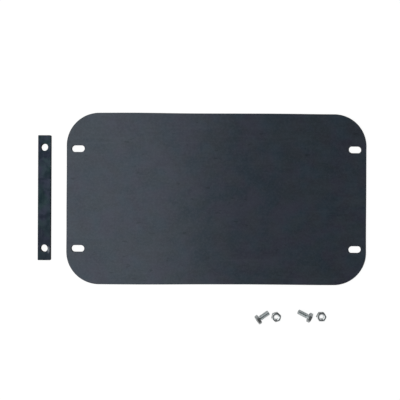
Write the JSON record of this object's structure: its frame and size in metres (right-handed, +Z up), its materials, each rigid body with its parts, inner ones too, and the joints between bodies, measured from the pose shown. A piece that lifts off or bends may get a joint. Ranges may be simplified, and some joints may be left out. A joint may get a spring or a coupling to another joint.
{
  "type": "plate compactor pad kit",
  "caption": "Flat rubber pad with large rounded corners and slotted ends, laid out with its loose clamp bar, hexagon bolts and nuts; it bolts under a machine's base plate.",
  "frame": {"origin": "middle of the pad's underside, on the surface that the kit lies on", "axes": "+X along the pad's length, away from the clamp bar; +Y across the pad, away from the loose bolts; +Z up from the surface"},
  "size_m": [0.6574, 0.4205, 0.0177],
  "materials": {
    "rubber": "satin, faintly streaked",
    "painted_steel": "satin black paint, lightly worn",
    "zinc_plated_steel": "bright zinc plating"
  },
  "bodies": {
    "pad": {"rubber_pad": "rubber"},
    "clamp_bar": {"clamp_bar": "painted_steel"},
    "hex_bolt_left": {"hex_bolt_left": "zinc_plated_steel"},
    "hex_bolt_right": {"hex_bolt_right": "zinc_plated_steel"},
    "hex_nut_left": {"hex_nut_left": "zinc_plated_steel"},
    "hex_nut_right": {"hex_nut_right": "zinc_plated_steel"}
  },
  "joints": [
    {"name": "clamp_bar_lift", "type": "slide", "parent": "pad", "child": "clamp_bar", "axis": [0, 0, 1], "range_m": [0, 0.06]},
    {"name": "hex_bolt_left_lift", "type": "slide", "parent": "pad", "child": "hex_bolt_left", "axis": [0, 0, 1], "range_m": [0, 0.06]},
    {"name": "hex_bolt_right_lift", "type": "slide", "parent": "pad", "child": "hex_bolt_right", "axis": [0, 0, 1], "range_m": [0, 0.06]},
    {"name": "hex_nut_left_lift", "type": "slide", "parent": "pad", "child": "hex_nut_left", "axis": [0, 0, 1], "range_m": [0, 0.06]},
    {"name": "hex_nut_right_lift", "type": "slide", "parent": "pad", "child": "hex_nut_right", "axis": [0, 0, 1], "range_m": [0, 0.06]}
  ]
}
